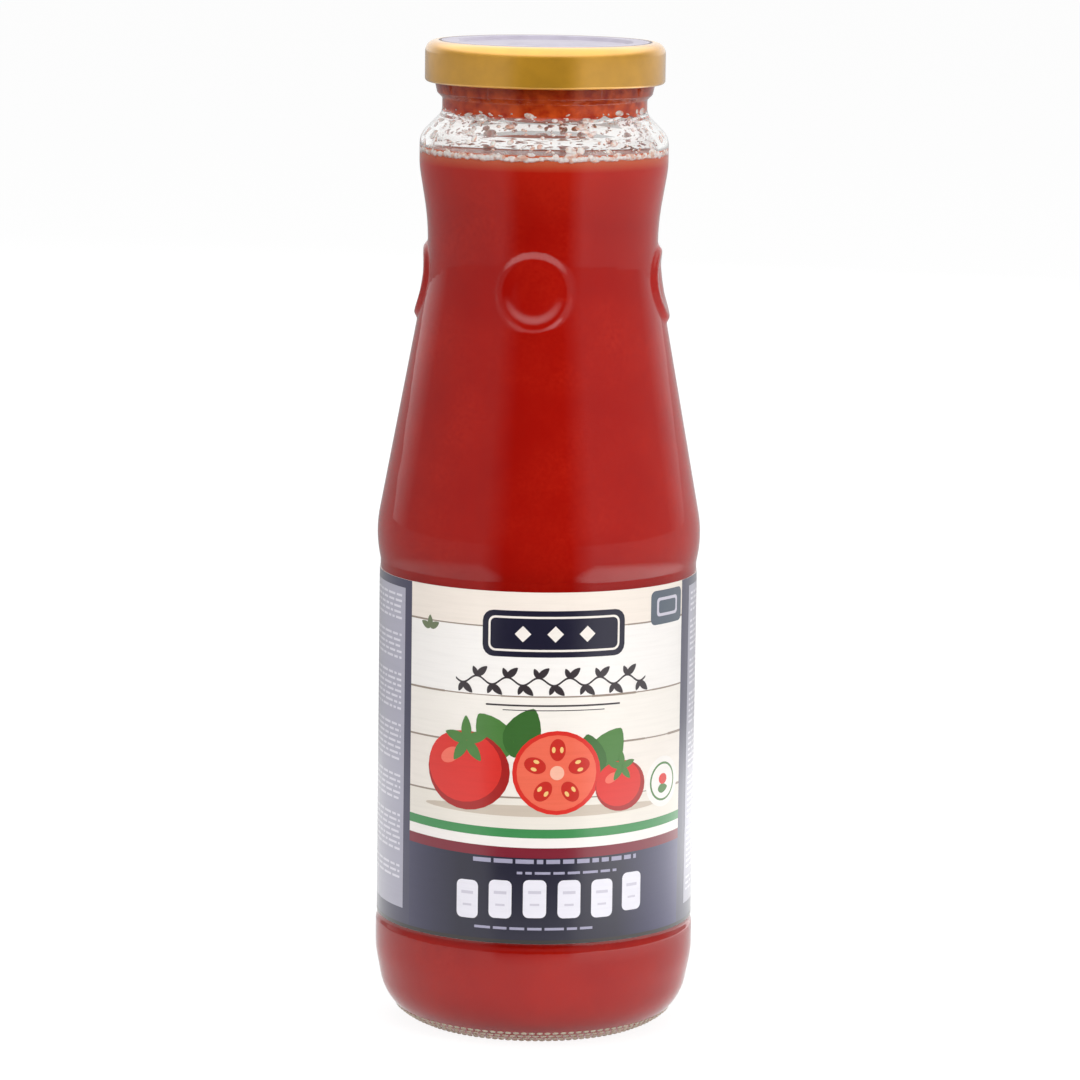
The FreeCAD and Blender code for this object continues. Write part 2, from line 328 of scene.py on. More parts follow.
def sieved_tomato(name, settings, wet):
    """Thick sieved tomato: deep red with fine paler pulp, with painted light from above that makes it
    paler towards the top and paler still just under the surface; wet shines only where it meets air.
    """
    material, tree, shader = new_material(name, {
        "Roughness": 0.22 if wet else 0.6,
        "Specular IOR Level": 0.5 if wet else 0.05,
        "Subsurface Weight": 0.12,
        "Subsurface Radius": (1.0, 0.22, 0.1),
        "Subsurface Scale": 2.5 * MM,
    })
    mottle = add(tree, "Math", {"operation": "MULTIPLY"}, {
        0: stretched(tree, object_noise(tree, 14, detail=3.0), 0.35, 0.7),
        1: stretched(tree, object_noise(tree, 0.9), 0.2, 0.75)})
    place = add(tree, "TexCoord")
    axes = add(tree, "SeparateXYZ", links={0: place.outputs["Object"]})
    # painted light from above: the red turns towards the pulp colour over the top 16 mm and towards a
    # paler orange over the top 3 mm
    top_light_from, crest_light_from, crest_light_to = ((FILL_HEIGHT - depth) * MM for depth in (16, 3.0, 0.3))
    top = stretched(tree, axes.outputs["Z"], top_light_from, FILL_HEIGHT * MM)
    shares = add(tree, "Math", {"operation": "MULTIPLY_ADD", "use_clamp": True, 1: 0.9}, {
        0: top, 2: mottle.outputs[0]})
    red = blended(tree, shares.outputs[0], settings.deep, settings.pulp_and_top_light)
    crest_light = stretched(tree, axes.outputs["Z"], crest_light_from, crest_light_to)
    tree.links.new(blended(tree, crest_light, red, settings.crest_light), shader.inputs["Base Color"])
    if wet:
        bumped(tree, shader, object_noise(tree, 2.5), 0.25)
    return material


def dried_film(settings):
    """Thin passata dried on glass: brown-orange, darker where it is thick."""
    material, tree, shader = new_material("dried_passata_film", {
        "Roughness": 0.5, "Specular IOR Level": 0.1})
    blots = stretched(tree, object_noise(tree, 3.0, detail=4.0), 0.38, 0.66)
    brown = blended(tree, blots, settings.film, settings.film_dark)
    tree.links.new(brown, shader.inputs["Base Color"])
    return material


def splashed_froth(settings):
    """Splashes and froth on the glass: near-white to salmon drops, softly shining."""
    material, tree, shader = new_material("splashed_froth", {
        "Roughness": 0.3,
        "Subsurface Weight": 0.2,
        "Subsurface Radius": (1.0, 0.6, 0.45),
        "Subsurface Scale": 0.8 * MM,
    })
    share = stretched(tree, object_noise(tree, 1.3, detail=1.0), 0.47, 0.62)
    tone = blended(tree, share, settings.froth, settings.splash)
    tree.links.new(tone, shader.inputs["Base Color"])
    return material


def printed_paper(name):
    """Offset print on coated paper: flat inks with a fine grain and a satin sheen."""
    material, tree, shader = new_material(name, {
        "Roughness": 0.3, "Coat Weight": 0.8, "Coat Roughness": 0.14})
    ink = add(tree, "Attribute", {"attribute_name": "ink"})
    spread = add(tree, "UVMap", {"uv_map": "label_mm"})
    grain_map = add(
        tree, "Mapping", {"Scale": (0.06, 1.1, 1.0)}, {"Vector": spread.outputs[0]})
    grain = add(
        tree, "TexNoise", {"Scale": 1.0, "Detail": 5.0, "Roughness": 0.65},
        {"Vector": grain_map.outputs[0]})
    fine_map = add(
        tree, "Mapping", {"Scale": (2.2, 2.2, 1.0)}, {"Vector": spread.outputs[0]})
    fibre = add(
        tree, "TexNoise", {"Scale": 1.0, "Detail": 2.0}, {"Vector": fine_map.outputs[0]})
    worn = add(tree, "Math", {"operation": "MULTIPLY", 1: 0.16}, {
        0: stretched(tree, grain.outputs[0], 0.45, 0.72)})
    shade = add(tree, "Math", {"operation": "MULTIPLY_ADD", 1: 0.07}, {
        0: fibre.outputs[0], 2: worn.outputs[0]})
    darker = add(tree, "HueSaturation", {"Saturation": 1.15, "Value": 0.72}, {
        "Color": ink.outputs["Color"]})
    toned = blended(tree, shade.outputs[0], ink.outputs["Color"], darker.outputs[0])
    tree.links.new(toned, shader.inputs["Base Color"])
    bumped(tree, shader, fibre.outputs[0], 0.01)
    return material


def lacquered_tin(name, linear, metallic, coat):
    """Lacquer on tinplate: coloured metal with a soft sheen and a faint orange peel."""
    material, tree, shader = new_material(name, {
        "Metallic": metallic, "Roughness": 0.36, "Coat Weight": coat, "Coat Roughness": 0.16,
        "Coat IOR": 1.75, "Specular IOR Level": 0.3})
    specks = stretched(tree, object_noise(tree, 5.0, detail=3.0), 0.3, 0.7)
    tone = blended(tree, specks, linear, tuple(0.88 * share for share in linear))
    tree.links.new(tone, shader.inputs["Base Color"])
    bumped(tree, shader, object_noise(tree, 0.8), 0.012)
    return material


# Shapes


def rounded(corners):
    """Points of an outline whose turns are rounded as the corners say."""
    points = []
    for index, (radius, height, turn) in enumerate(corners):
        here = Vector((radius, height))
        if turn == 0 or index in (0, len(corners) - 1):
            points.append(here)
            continue
        back = (Vector(corners[index - 1][:2]) - here).normalized()
        ahead = (Vector(corners[index + 1][:2]) - here).normalized()
        half = back.angle(ahead) / 2
        centre = here + (back + ahead).normalized() * (turn / math.sin(half))
        first = here + back * (turn / math.tan(half)) - centre
        sweep = math.pi - 2 * half
        steps = max(2, math.ceil(sweep * turn / ARC_STEP), math.ceil(sweep / ARC_ANGLE))
        way = 1 if back.cross(ahead) < 0 else -1
        for step in range(steps + 1):
            points.append(centre + Matrix.Rotation(way * sweep * step / steps, 2) @ first)
    return points


def radius_at(points, height):
    """Radius of an outline at a height."""
    for low, high in zip(points, points[1:]):
        if min(low.y, high.y) <= height <= max(low.y, high.y) and low.y != high.y:
            return low.x + (high.x - low.x) * (height - low.y) / (high.y - low.y)
    return points[-1].x


def turned(points, steps=TURN_STEPS, closed=False, fine=()):
    """Outline spun about the bottle's axis, with extra rings at the heights in fine."""
    bm = bmesh.new()
    verts = [bm.verts.new((point.x, 0, point.y)) for point in points]
    for pair in zip(verts, verts[1:]):
        bm.edges.new(pair)
    if closed:
        bm.edges.new((verts[-1], verts[0]))
    for height in fine:
        bmesh.ops.bisect_plane(
            bm, geom=bm.verts[:] + bm.edges[:], plane_co=(0, 0, height), plane_no=AXIS)
    bmesh.ops.spin(
        bm, geom=bm.verts[:] + bm.edges[:], cent=(0, 0, 0), axis=AXIS, angle=FULL_TURN,
        steps=steps, use_merge=True)
    bmesh.ops.remove_doubles(bm, verts=bm.verts, dist=WELD)
    bmesh.ops.recalc_face_normals(bm, faces=bm.faces)
    return bm


def finished(bm, name, materials, replaced=None):
    """Make the piece's object from a bmesh in millimetres, and hang it on the frame."""
    bmesh.ops.scale(bm, vec=(MM, MM, MM), verts=bm.verts)
    mesh = bpy.data.meshes.new(name)
    bm.to_mesh(mesh)
    bm.free()
    for material in materials:
        mesh.materials.append(material)
    mesh.shade_smooth()
    mesh.set_sharp_from_angle(angle=SHARP_ANGLE)
    piece = bpy.data.objects.new(name, mesh)
    bpy.context.scene.collection.objects.link(piece)
    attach(piece, ROOT)
    if replaced:
        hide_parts(replaced)


def drop_mesh():
    """Small low sphere that drops and knurls are made from."""
    drop = bmesh.new()
    bmesh.ops.create_uvsphere(drop, u_segments=8, v_segments=5, radius=1.0)
    mesh = bpy.data.meshes.new("drop")
    drop.to_mesh(mesh)
    drop.free()
    return mesh


def place_drop(bm, drop, outline, height, around, sizes, lean=0.0, depth=0.0):
    """Copy of the drop lying on a turned outline; sizes are its thickness, width and height."""
    ring = radius_at(outline, height) + depth
    slope = (radius_at(outline, height + 0.2) - radius_at(outline, height - 0.2)) / 0.4
    copy = drop.copy()
    copy.transform(
        Matrix.Rotation(around, 4, "Z")
        @ Matrix.Translation((ring, 0, height))
        @ Matrix.Rotation(math.atan(slope), 4, "Y")
        @ Matrix.Rotation(lean, 4, "X")
        @ Matrix.Diagonal((*sizes, 1)))
    bm.from_mesh(copy)
    bpy.data.meshes.remove(copy)


def push_out(vert, distance):
    """Move a vertex away from the bottle's axis."""
    ring = math.hypot(vert.co.x, vert.co.y)
    vert.co.x *= 1 + distance / ring
    vert.co.y *= 1 + distance / ring


def off_middle(around, count):
    """Angle from the middle of the nearest of count even windows, the first centred on +X."""
    return (around + math.pi / count) % (FULL_TURN / count) - math.pi / count


def in_window(vert, count, width):
    """Whether a vertex stands in one of count even windows of that width."""
    return abs(off_middle(math.atan2(vert.co.y, vert.co.x), count)) < width / 2


def smooth_step(low, high, number):
    """0 below low, 1 above high and a smooth curve between."""
    share = min(max((number - low) / (high - low), 0), 1)
    return share * share * (3 - 2 * share)


def boss_relief(distance, radius):
    """Height of a boss at a distance from its centre: a rounded rim about a shallow dish."""
    edge = 1 - smooth_step(*BOSS_EDGE, distance / radius)
    dish = 1 - smooth_step(*BOSS_DISH, distance / radius)
    return edge - BOSS_DISH_DEPTH * dish


# The pieces


class PieceOperator:
    """What every operator of this add-on shares."""
    bl_options = {"REGISTER", "UNDO"}


class PASSATA_OT_glass(PieceOperator, bpy.types.Operator):
    """Turn the glass bottle and raise its four bosses and thread ridges"""
    bl_idname = "passata.glass"
    bl_label = "Glass bottle"

    def execute(self, context):
        settings = context.scene.passata_glass
        glass = moulded_glass(settings)
        outside, inside = rounded(GLASS_OUTSIDE), rounded(GLASS_INSIDE)
        lip = rounded(GLASS_OUTSIDE[-2:] + GLASS_INSIDE[:2])[1:-1]
        middle = settings.boss_centre
        reach = settings.boss_radius + 1
        zone = (middle - reach, middle + reach)
        count = int(2 * reach / BOSS_SPACING)
        rings = [zone[0] + 2 * reach * step / count for step in range(count + 1)]
        bm = turned(outside[:-1] + lip + inside[1:], fine=rings + list(THREAD_RINGS))
        for vert in bm.verts:
            ring = math.hypot(vert.co.x, vert.co.y)
            if not zone[0] < vert.co.z < zone[1]:
                continue
            if ring < radius_at(outside, vert.co.z) - 0.1:
                continue
            around = math.atan2(vert.co.y, vert.co.x) + settings.boss_turn
            distance = math.hypot(off_middle(around, BOSS_COUNT) * ring, vert.co.z - middle)
            push_out(vert, settings.boss_height * boss_relief(distance, settings.boss_radius))
        for vert in bm.verts:
            outer = math.hypot(vert.co.x, vert.co.y) > FINISH_FROM
            level = THREAD_RINGS[0] < vert.co.z < THREAD_RINGS[-1]
            if outer and level and in_window(vert, THREADS, THREAD_ARC):
                push_out(vert, THREAD_HEIGHT)
        finished(bm, "glass_bottle", [glass], "bottle")
        return {"FINISHED"}


class PASSATA_OT_contents(PieceOperator, bpy.types.Operator):
    """Fill the bottle with passata that reaches just into the glass"""
    bl_idname = "passata.contents"
    bl_label = "Passata"

    def execute(self, context):
        settings = context.scene.passata_contents
        walls = [corner for corner in reversed(GLASS_INSIDE) if corner[1] < FILL_HEIGHT]
        corners = [
            (radius + (INTO_WALL if radius else 0), height - INTO_WALL, turn)
            for radius, height, turn in walls
        ]
        edge, climb = walls[-1][0], FILL_HEIGHT + 0.9
        # the surface climbs a little where it meets the glass
        corners += [
            (edge + INTO_WALL, climb, 0.1), (edge - 0.1, climb, 0.1),
            (edge - 0.7, FILL_HEIGHT, 0.6), (edge / 2, FILL_HEIGHT, 1.0), (0.0, FILL_HEIGHT, 0.0),
        ]
        bm = turned(rounded(corners), steps=SMALL_TURN_STEPS)
        for face in bm.faces:
            if face.calc_center_median().z > FILL_HEIGHT - 0.5 and face.normal.z > 0.1:
                face.material_index = 1
        materials = [
            sieved_tomato("sieved_tomato_behind_glass", settings, wet=False),
            sieved_tomato("sieved_tomato_surface", settings, wet=True),
        ]
        finished(bm, "passata_filling", materials, "passata")
        return {"FINISHED"}


class PASSATA_OT_film(PieceOperator, bpy.types.Operator):
    """Coat the neck's inside with a ragged film of dried passata"""
    bl_idname = "passata.film"
    bl_label = "Neck film"

    def execute(self, context):
        settings = context.scene.passata_contents
        line = [
            Vector((BORE_RADIUS + INTO_WALL, ring / FILM_RINGS)) for ring in range(FILM_RINGS + 1)]
        bm = turned(line)
        top = LID_HIGH.z - FILM_TOP_GAP
        for vert in bm.verts:
            way = Vector((vert.co.x, vert.co.y, 0)).normalized()
            edge = settings.film_low + 1.5 * noise.noise(way * 3.1) + 1.1 * noise.noise(way * 9.0)
            vert.co.z = edge + (top - edge) * vert.co.z
        bmesh.ops.recalc_face_normals(bm, faces=bm.faces)
        bmesh.ops.solidify(bm, geom=bm.faces[:], thickness=FILM_THICKNESS)
        finished(bm, "neck_film", [dried_film(settings)])
        return {"FINISHED"}


class PASSATA_OT_knurls(PieceOperator, bpy.types.Operator):
    """Set rows of small knurls round the edge that the bottle stands on"""
    bl_idname = "passata.knurls"
    bl_label = "Base knurls"

    def execute(self, context):
        outside = list(reversed(rounded(GLASS_OUTSIDE)))
        drop = drop_mesh()
        bm = bmesh.new()
        for row, height in enumerate(KNURL_ROWS):
            for step in range(KNURLS):
                around = FULL_TURN * (step + row / 2) / KNURLS
                place_drop(bm, drop, outside, height, around, KNURL_SIZES)
        finished(bm, "base_knurls", [knurled_glass()])
        return {"FINISHED"}


class PASSATA_OT_splashes(PieceOperator, bpy.types.Operator):
    """Scatter small splashes and froth over the glass above the fill"""
    bl_idname = "passata.splashes"
    bl_label = "Splashes and froth"

    def execute(self, context):
        settings = context.scene.passata_contents
        inside = rounded(GLASS_INSIDE)
        chance = random.Random(settings.seed)
        drop = drop_mesh()
        bm = bmesh.new()
        low, high = FILL_HEIGHT + 0.4, settings.film_low + 1.5
        for _ in range(settings.splashes):
            size = 0.2 + 0.85 * chance.random() ** 3
            sizes = (0.3, size * chance.uniform(0.8, 2.0), size * chance.uniform(0.6, 1.1))
            place_drop(
                bm, drop, inside, chance.uniform(low, high), chance.uniform(0, FULL_TURN), sizes,
                lean=chance.uniform(-0.5, 0.5), depth=INTO_WALL)
        for step in range(FROTH_BEADS):
            sizes = (0.5, chance.uniform(0.8, 1.5), chance.uniform(0.4, 0.8))
            place_drop(
                bm, drop, inside, FILL_HEIGHT + chance.uniform(-0.15, 0.35),
                FULL_TURN * step / FROTH_BEADS, sizes, depth=INTO_WALL)
        finished(bm, "splashes_and_froth", [splashed_froth(settings)])
        return {"FINISHED"}


# Label: shapes are drawn flat, x along the label and z up, in millimetres, with y as their layer

LAYER = 0.012
WRAP_STEP = 1.2
PAPER = 0.14
WORD_GAP = 0.7
HALF_ROUND = math.pi * LABEL_RADIUS
INKS = {name: to_linear(text) for name, text in (
    ("side", "#403E58"), ("foot left", "#3A3857"), ("foot right", "#4A4870"),
    ("foot edge", "#2A2422"), ("paper edge", "#D8D2CA"), ("joint", "#9A8A7C"),
    ("charcoal", "#3A3236"), ("slate", "#59636F"), ("grey", "#CFCBD8"), ("pale", "#E2E0EA"),
    ("faint", "#A3A0B8"), ("panel", "#B2B0C0"), ("tablet", "#EAE8F1"),
    ("tomato shade", "#A81410"), ("tomato gleam", "#F0705C"), ("flesh", "#EE6A50"),
    ("chamber", "#C9251A"), ("seed", "#F4C67C"), ("core", "#F6B9A0"),
    ("dark leaf", "#3B6B2E"), ("cast shadow", "#CDBFAF"), ("sprig", "#6E7A5A"),
)}


class Drawing:
    """Flat inks that are wrapped round the label."""

    def __init__(self):
        self.bm = bmesh.new()
        self.inks = self.bm.loops.layers.float_color.new("ink")

    def stamp(self, verts, linear, layer, end=None):
        """Give new shapes their ink, fading to end at the right, and their place as a layer."""
        left = min(vert.co.x for vert in verts)
        right = max(vert.co.x for vert in verts)
        for vert in verts:
            vert.co.y = layer * LAYER
        for face in {face for vert in verts for face in vert.link_faces}:
            for loop in face.loops:
                share = (loop.vert.co.x - left) / (right - left)
                ink = Vector(linear).lerp(Vector(end or linear), share)
                loop[self.inks] = solid_colour(ink)

    def box(self, left, low, right, high, linear, layer, corner=0.0, end=None):
        """Rectangle between two places and two heights, with rounded corners if asked."""
        place = Matrix.Translation(((left + right) / 2, 0, (low + high) / 2))
        size = Matrix.Diagonal((right - left, 1, high - low, 1))
        made = bmesh.ops.create_grid(
            self.bm, x_segments=1, y_segments=1, size=0.5,
            matrix=place @ size @ Matrix.Rotation(math.pi / 2, 4, "X"))
        verts = made["verts"]
        if corner:
            made = bmesh.ops.bevel(
                self.bm, geom=verts, offset=corner, segments=4, profile=0.5,
                affect="VERTICES", material=-1)
            verts = made["verts"]
        self.stamp(verts, linear, layer, end)

    def disc(self, across, height, radius, linear, layer, squash=1.0, turn=0.0, segments=28):
        """Filled circle or ellipse."""
        place = (
            Matrix.Translation((across, 0, height))
            @ Matrix.Rotation(turn, 4, "Y")
            @ Matrix.Diagonal((radius, 1, radius * squash, 1))
            @ Matrix.Rotation(math.pi / 2, 4, "X")
        )
        made = bmesh.ops.create_circle(
            self.bm, cap_ends=True, radius=1.0, segments=segments, matrix=place)
        self.stamp(made["verts"], linear, layer)

    def leaf(self, across, height, reach, linear, layer, turn, width=0.34):
        """Leaf with two pointed ends, its stalk end at the given place."""
        made = bmesh.ops.create_circle(self.bm, cap_ends=True, radius=1.0, segments=18)
        verts = made["verts"]
        for vert in verts:
            along = (vert.co.x + 1) / 2
            vert.co.z = width * vert.co.y * abs(vert.co.y) ** 0.4 * (1.25 - 0.5 * along)
            vert.co.x = along
            vert.co.y = 0
        place = (
            Matrix.Translation((across, 0, height))
            @ Matrix.Rotation(-turn, 4, "Y")
            @ Matrix.Diagonal((reach, 1, reach, 1))
        )
        bmesh.ops.transform(self.bm, matrix=place, verts=verts)
        self.stamp(verts, linear, layer)

    def stripe(self, left, right, low, high, bow, linear, layer, bends=1):
        """Band across the label that dips by bow at its middle, or waves in more bends."""
        made = bmesh.ops.create_grid(
            self.bm, x_segments=40 * min(bends, 4), y_segments=1, size=0.5,
            matrix=Matrix.Rotation(math.pi / 2, 4, "X"))
        for vert in made["verts"]:
            share = vert.co.x + 0.5
            level = low if vert.co.z < 0 else high
            vert.co.x = left + (right - left) * share
            vert.co.z = level - bow * math.sin(math.pi * bends * share)
        self.stamp(made["verts"], linear, layer)

    def words(self, left, right, height, tall, linear, layer, chance):
        """Row of small bars of uneven length, as far apart as words."""
        here = left
        while here < right:
            end = min(here + chance.uniform(1.2, 4.6), right)
            self.box(here, height - tall / 2, end, height + tall / 2, linear, layer)
            here = end + WORD_GAP

    def wrapped(self, name, print_name):
        """Cut the shapes into narrow strips, bend them round the label and finish the piece."""
        bm = self.bm
        left = min(vert.co.x for vert in bm.verts)
        right = max(vert.co.x for vert in bm.verts)
        bmesh.ops.recalc_face_normals(bm, faces=bm.faces)
        count = int((right - left) / WRAP_STEP)
        for cut in range(1, count):
            across = left + (right - left) * cut / count
            bmesh.ops.bisect_plane(
                bm, geom=bm.verts[:] + bm.edges[:] + bm.faces[:],
                plane_co=(across, 0, 0), plane_no=(1, 0, 0))
        spread = bm.loops.layers.uv.new("label_mm")
        for face in bm.faces:
            for loop in face.loops:
                loop[spread].uv = (loop.vert.co.x, loop.vert.co.z)
        for vert in bm.verts:
            turn = vert.co.x / LABEL_RADIUS
            ring = LABEL_RADIUS + vert.co.y
            vert.co = (ring * math.sin(turn), -ring * math.cos(turn), vert.co.z)
        for face in bm.faces:
            face.normal_update()
            outward = Vector((face.calc_center_median().x, face.calc_center_median().y, 0))
            if face.normal.dot(outward) < 0:
                face.normal_flip()
        finished(bm, name, [printed_paper(print_name)])


BOARD_JOINTS = (47.0, 60.5, 73.0, 84.2, 100.3)
BOARD_TONES = ("#ECE5DA", "#F1E9E0", "#F4EEE6", "#F7F3EF", "#F3E8DD")
STRIPE_EDGES = (47.2, 49.6, 51.9, 54.0)
STRIPE_BOW = 0.9
FOOT_TOP = 47.6
FOOT_EDGE = 0.9
FOOT_DARK = (-18, 20)
OVERLAP = (5.0, 5.25)


class PASSATA_OT_label(PieceOperator, bpy.types.Operator):
    """Wrap the paper sleeve and print its fields of colour"""
    bl_idname = "passata.label"
    bl_label = "Label paper and ground"

    def execute(self, context):
        settings = context.scene.passata_label
        inner = LABEL_RADIUS - PAPER
        corners = [
            (inner, LABEL_LOW.z), (LABEL_RADIUS, LABEL_LOW.z),
            (LABEL_RADIUS, LABEL_HIGH.z), (inner, LABEL_HIGH.z)]
        bm = turned([Vector(corner) for corner in corners], closed=True)
        inks = bm.loops.layers.float_color.new("ink")
        spread = bm.loops.layers.uv.new("label_mm")
        for face in bm.faces:
            for loop in face.loops:
                place = loop.vert.co
                loop[inks] = solid_colour(settings.white)
                loop[spread].uv = (math.atan2(place.x, -place.y) * LABEL_RADIUS, place.z)
        finished(
            bm, "label_sleeve", [printed_paper("coated_label_paper")], "label")

        ground = Drawing()
        left, right = settings.front_left, settings.front_right
        low, high = LABEL_LOW.z + 0.02, LABEL_HIGH.z - 0.02
        tops = BOARD_JOINTS[1:] + (high,)
        for joint, top, tone in zip(BOARD_JOINTS, tops, BOARD_TONES):
            ground.box(left, joint, right, top, to_linear(tone), 1)
        side, navy = INKS["side"], settings.navy
        ground.box(-HALF_ROUND, low, left, high, side, 1)
        ground.box(right, low, HALF_ROUND, high, side, 1)
        # foot: darkest below the front's middle, paler towards the sides
        foot = (
            (-HALF_ROUND, left, side, None), (left, FOOT_DARK[0], INKS["foot left"], navy),
            (*FOOT_DARK, navy, None), (FOOT_DARK[1], right, navy, INKS["foot right"]),
            (right, HALF_ROUND, side, None),
        )
        for start, stop, ink, end in foot:
            ground.box(start, low, stop, FOOT_TOP, ink, 2, end=end)
        ground.box(-HALF_ROUND, low, HALF_ROUND, low + FOOT_EDGE, INKS["foot edge"], 3)
        # cut edge of the paper's overlap at the back
        start, stop = (-HALF_ROUND + place for place in OVERLAP)
        ground.box(start, low, stop, high, INKS["paper edge"], 4)
        inks = (settings.wine, settings.white, settings.green)
        for base, top, ink in zip(STRIPE_EDGES, STRIPE_EDGES[1:], inks):
            ground.stripe(left, right, base, top, STRIPE_BOW, ink, 3)
        # uneven dark joints between the boards
        chance = random.Random(11)
        for joint in BOARD_JOINTS[1:]:
            here = left
            while here < right:
                end = min(here + chance.uniform(5, 12), right)
                half = chance.uniform(0.1, 0.28)
                ground.box(here, joint - half, end, joint + half, INKS["joint"], 2)
                here = end
        ground.wrapped("label_ground", "label_ground_print")
        return {"FINISHED"}


# Middle of the plaque and its rules, and each nested box's half width, half height and corner
PLAQUE_MIDDLE = (4.2, 98.8)
PLAQUE_BOXES = ((17.0, 5.4, 2.6), (15.6, 4.1, 1.6), (15.1, 3.6, 1.2))
DIAMOND, DIAMOND_SPACING = 1.9, 7.5
# Half width, foot and top of the two rules
RULES = ((16.0, 81.9, 82.3), (12.0, 80.9, 81.1))
TABLET_MIDDLES = (35.9, 36.4, 36.7, 36.6, 36.4, 37.3)
TABLET_START, TABLET_SPACING = -15.9, 8.05
# Left end, right end, height and tallness of the rows at the foot
FOOT_ROWS = ((-14.5, 25.5, 45.5, 1.0), (-4.0, 20.0, 42.8, 0.6), (-14.0, 14.0, 29.6, 0.6))
# Left, foot, right, top and corner of the nested boxes of the tab
TAB_BOXES = (
    (29.0, 99.3, 41.0, 107.3, 1.4), (31.0, 101.2, 39.0, 105.6, 0.9),
    (31.7, 101.9, 38.3, 104.9, 0.6))
SEAL_MIDDLE = (34.2, 62.0)
SEAL_RADII = (6.0, 4.6, 4.1)
SIDE_PANELS = ((-74.0, -36.0), (46.0, 84.0))
PANEL_FOOT, PANEL_TOP = 30.5, 106.5
PANEL_MARGIN = 1.5
FIRST_ROW, LAST_ROW = 104.5, 33
ROW_TALL, ROW_PITCH, PARAGRAPH_PITCH = 0.55, 1.35, 2.6
BACK_PANEL = (-108, 74, -80, 96)


class PASSATA_OT_panels(PieceOperator, bpy.types.Operator):
    """Print the plain plaque, rows, tablets and small panels"""
    bl_idname = "passata.panels"
    bl_label = "Label panels and rows"

    def execute(self, context):
        settings = context.scene.passata_label
        chance = random.Random(23)
        page = Drawing()
        middle, level = PLAQUE_MIDDLE
        inks = (settings.navy, settings.cream, settings.navy)
        for layer, (half, tall, corner), ink in zip((3, 4, 5), PLAQUE_BOXES, inks):
            page.box(
                middle - half, level - tall, middle + half, level + tall, ink, layer,
                corner=corner)
        for step in (-1, 0, 1):
            across = middle + DIAMOND_SPACING * step
            page.disc(across, level, DIAMOND, settings.cream, 6, segments=4)
        for half, base, top in RULES:
            page.box(middle - half, base, middle + half, top, INKS["charcoal"], 3)
        # blank tablets with two faint lines each
        for step, height in enumerate(TABLET_MIDDLES):
            centre = TABLET_START + TABLET_SPACING * step
            page.box(
                centre - 2.7, height - 4.5, centre + 2.7, height + 4.5, INKS["tablet"], 3,
                corner=1.3)
            page.box(centre - 1.5, height + 1.2, centre + 1.5, height + 1.9, INKS["grey"], 4)
            page.box(centre - 1.1, height - 1.6, centre + 1.1, height - 1.1, INKS["grey"], 4)
        for left, right, height, tall in FOOT_ROWS:
            page.words(left, right, height, tall, INKS["faint"], 4, chance)
        inks = (INKS["slate"], INKS["grey"], INKS["slate"])
        for layer, (left, base, right, top, corner), ink in zip((3, 4, 5), TAB_BOXES, inks):
            page.box(left, base, right, top, ink, layer, corner=corner)
        # pale seal with a green ring and a small fruit
        across, level = SEAL_MIDDLE
        inks = (settings.white, settings.leaf, settings.white)
        for layer, radius, ink in zip((3, 4, 5), SEAL_RADII, inks):
            page.disc(across, level, radius, ink, layer)
        page.disc(across, level + 0.6, 1.5, settings.tomato, 6, squash=0.85)
        page.leaf(across - 1.8, level - 1.8, 3.6, settings.leaf, 6, turn=0.1, width=0.3)
        for left, right in SIDE_PANELS:
            page.box(left, PANEL_FOOT, right, PANEL_TOP, INKS["panel"], 3)
            start, stop, height = left + PANEL_MARGIN, right - PANEL_MARGIN, FIRST_ROW
            while height > LAST_ROW + 2:
                rows = min(chance.randint(3, 7), int((height - LAST_ROW) / ROW_PITCH))
                for _ in range(rows):
                    page.words(start, stop, height, ROW_TALL, INKS["pale"], 4, chance)
                    height -= ROW_PITCH
                end = left + chance.uniform(8, 24)
                page.words(start, end, height, ROW_TALL, INKS["pale"], 4, chance)
                height -= PARAGRAPH_PITCH
        page.box(*BACK_PANEL, settings.white, 3, corner=1.5)
        page.wrapped("label_panels", "label_panel_print")
        return {"FINISHED"}


# Vine ornament: its ends, height, thickness, and how often and how far it waves
VINE_LEFT, VINE_RIGHT = -19.5, 27.5
VINE_LEVEL, VINE_THICKNESS = 87.7, 0.5
VINE_BENDS, VINE_WAVE = 13, 0.9
# Stalk end, length and turn of the leaves behind the tomatoes
LEAVES = (
    (-6.5, 70.0, 12.0, 2.2), (-5.5, 70.0, 12.5, 1.15),
    (13.5, 66.0, 12.5, 0.95), (14.0, 64.5, 11.0, 1.75))
TOMATO_SQUASH = 0.88
HALF_SQUASH = 0.95
RAYS = 5


